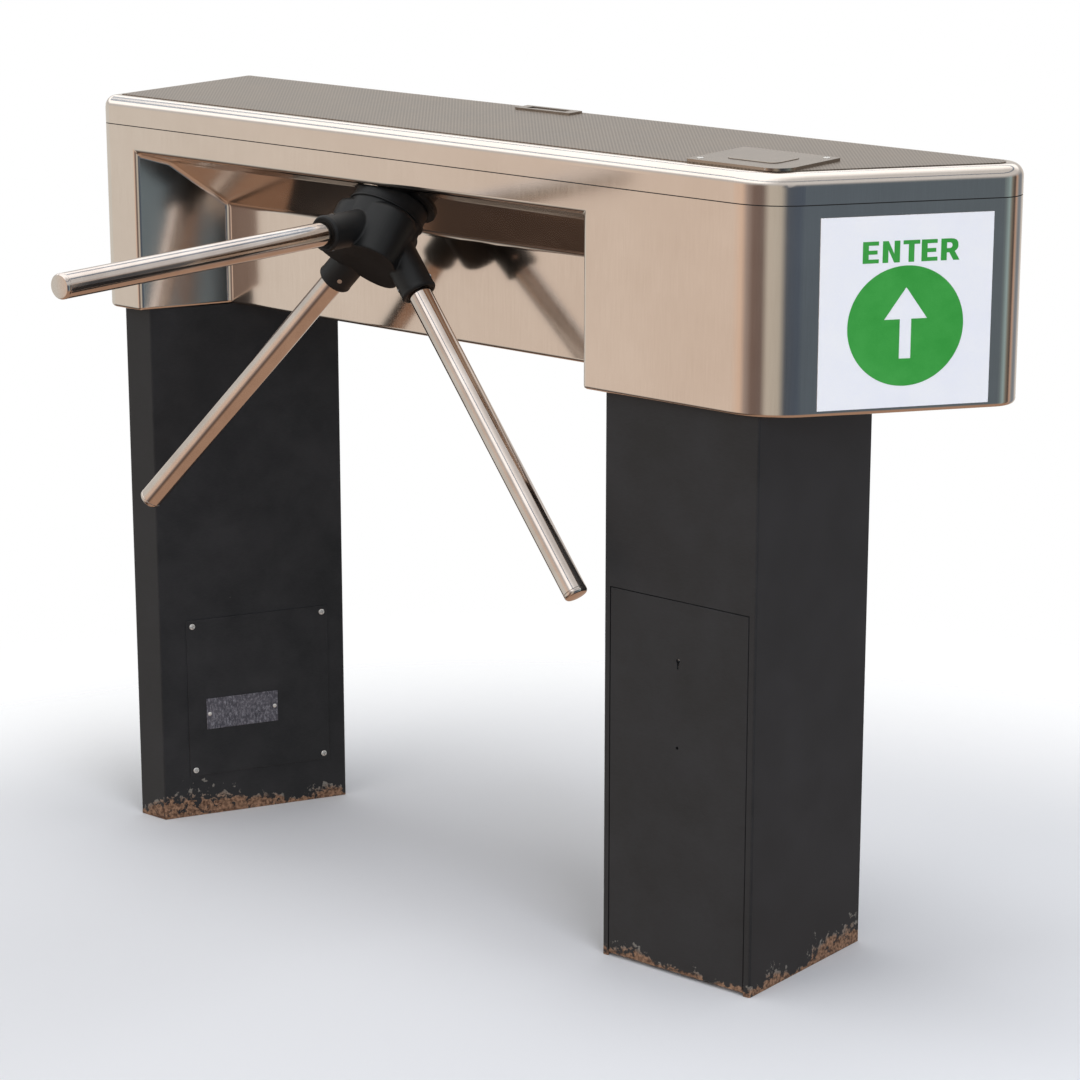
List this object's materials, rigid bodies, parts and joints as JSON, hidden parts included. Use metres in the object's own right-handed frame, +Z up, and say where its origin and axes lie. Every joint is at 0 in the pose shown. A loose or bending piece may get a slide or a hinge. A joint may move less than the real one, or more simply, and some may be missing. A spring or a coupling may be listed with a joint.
{
  "type": "visitor counter turnstile",
  "caption": "Waist-high tripod turnstile with a stainless cabinet on painted posts, leaning rotor with three arms, lift-off lid, service door and visit counter.",
  "frame": {"origin": "centre of the left post's four floor anchor holes, at floor level", "axes": "+X along the cabinet towards the signed end, +Y away from the side with the arms, +Z up"},
  "size_m": [1.2478, 0.8, 1.0051],
  "materials": {
    "brushed_stainless": "fine brushed",
    "embossed_stainless": "fine embossed weave",
    "machined_stainless": "satin",
    "polished_stainless": "polished",
    "zinc_steel": "zinc plated",
    "brass_bolt": "satin",
    "smoked_window": "gloss",
    "black_rubber": "matt",
    "black_paint": "worn satin powder coat, rusted at the feet",
    "black_casting": "satin",
    "worn_nameplate": "scratched",
    "white_sign": "smooth",
    "green_vinyl": "smooth",
    "cast_housing": "as cast",
    "black_plastic": "matt",
    "grey_plastic": "matt",
    "green_board": "solder mask",
    "counter_drum": "matt"
  },
  "bodies": {
    "frame": {"access_panel": "black_paint", "access_panel_screws": "zinc_steel", "bearing_housing": "cast_housing", "cabinet_bolts": "zinc_steel", "control_board": "green_board", "counter_axle": "zinc_steel", "counter_bracket": "zinc_steel", "counter_case": "black_plastic", "door_hinge_brackets": "zinc_steel", "door_hinge_pins": "zinc_steel", "entry_sign": "white_sign", "entry_sign_disc": "green_vinyl", "front_bearing": "machined_stainless", "housing_shell": "brushed_stainless", "hub_shroud": "black_casting", "left_base_plate": "black_paint", "left_head_plate": "black_paint", "left_post": "black_paint", "lid_gasket": "black_rubber", "lid_guides": "zinc_steel", "lock_solenoid": "black_plastic", "mechanism_plate": "zinc_steel", "mechanism_studs": "zinc_steel", "nameplate": "worn_nameplate", "nameplate_rivets": "zinc_steel", "pawl_post": "zinc_steel", "power_supply": "cast_housing", "pulse_sensor": "black_plastic", "rear_bearing": "machined_stainless", "right_base_plate": "black_paint", "right_head_plate": "black_paint", "right_post": "black_paint", "terminal_block": "grey_plastic"},
    "rotor": {"hub_body": "black_casting", "hub_cap": "black_casting", "arm_pins": "zinc_steel", "main_shaft": "machined_stainless", "index_disc": "zinc_steel", "shaft_nut": "zinc_steel", "arm_tube_1": "polished_stainless", "arm_tube_2": "polished_stainless", "arm_tube_3": "polished_stainless", "arm_end_cap_1": "polished_stainless", "arm_end_cap_2": "polished_stainless", "arm_end_cap_3": "polished_stainless"},
    "lid": {"lid_cover": "brushed_stainless", "lid_inlay": "embossed_stainless", "reader_plate": "machined_stainless", "reader_screws": "zinc_steel", "reader_pad": "machined_stainless", "counter_bezel": "machined_stainless", "counter_window": "smoked_window"},
    "door": {"service_door": "black_paint", "door_hinge_leaves": "zinc_steel", "door_lock_case": "zinc_steel"},
    "door_bolt": {"door_lock_bolt": "brass_bolt"},
    "pawl": {"lock_pawl": "zinc_steel"},
    "counter_units": {"counter_drum_1": "counter_drum"},
    "counter_tens": {"counter_drum_2": "counter_drum"},
    "counter_hundreds": {"counter_drum_3": "counter_drum"}
  },
  "joints": [
    {"name": "rotor_spin", "type": "hinge", "parent": "frame", "child": "rotor", "pos_m": [0.4166, -0.10704, 0.87782], "axis": [0, 0.6428, 0.766], "continuous": true},
    {"name": "lid_lift", "type": "slide", "parent": "frame", "child": "lid", "axis": [0, 0, 1], "range_m": [0, 0.12]},
    {"name": "door_tilt", "type": "hinge", "parent": "frame", "child": "door", "pos_m": [0.8886, -0.1115, 0.009], "axis": [1, 0, 0], "range_deg": [0, 90]},
    {"name": "door_bolt_throw", "type": "slide", "parent": "door", "child": "door_bolt", "axis": [0, 0, 1], "range_m": [0, 0.012]},
    {"name": "pawl_pull", "type": "hinge", "parent": "frame", "child": "pawl", "pos_m": [0.3546, -0.00263, 0.9338], "axis": [0, 0.6428, 0.766], "range_deg": [0, 5], "stiffness_Nm_per_rad": 0.05},
    {"name": "units_turn", "type": "hinge", "parent": "frame", "child": "counter_units", "pos_m": [0.5135, 0.113, 0.979], "axis": [1, 0, 0], "continuous": true},
    {"name": "tens_turn", "type": "hinge", "parent": "frame", "child": "counter_tens", "pos_m": [0.504, 0.113, 0.979], "axis": [1, 0, 0], "continuous": true},
    {"name": "hundreds_turn", "type": "hinge", "parent": "frame", "child": "counter_hundreds", "pos_m": [0.4945, 0.113, 0.979], "axis": [1, 0, 0], "continuous": true}
  ],
  "couplings": [
    {"joint": "units_turn", "follows": "rotor_spin", "ratio": 0.3},
    {"joint": "tens_turn", "follows": "rotor_spin", "ratio": 0.03},
    {"joint": "hundreds_turn", "follows": "rotor_spin", "ratio": 0.003}
  ]
}
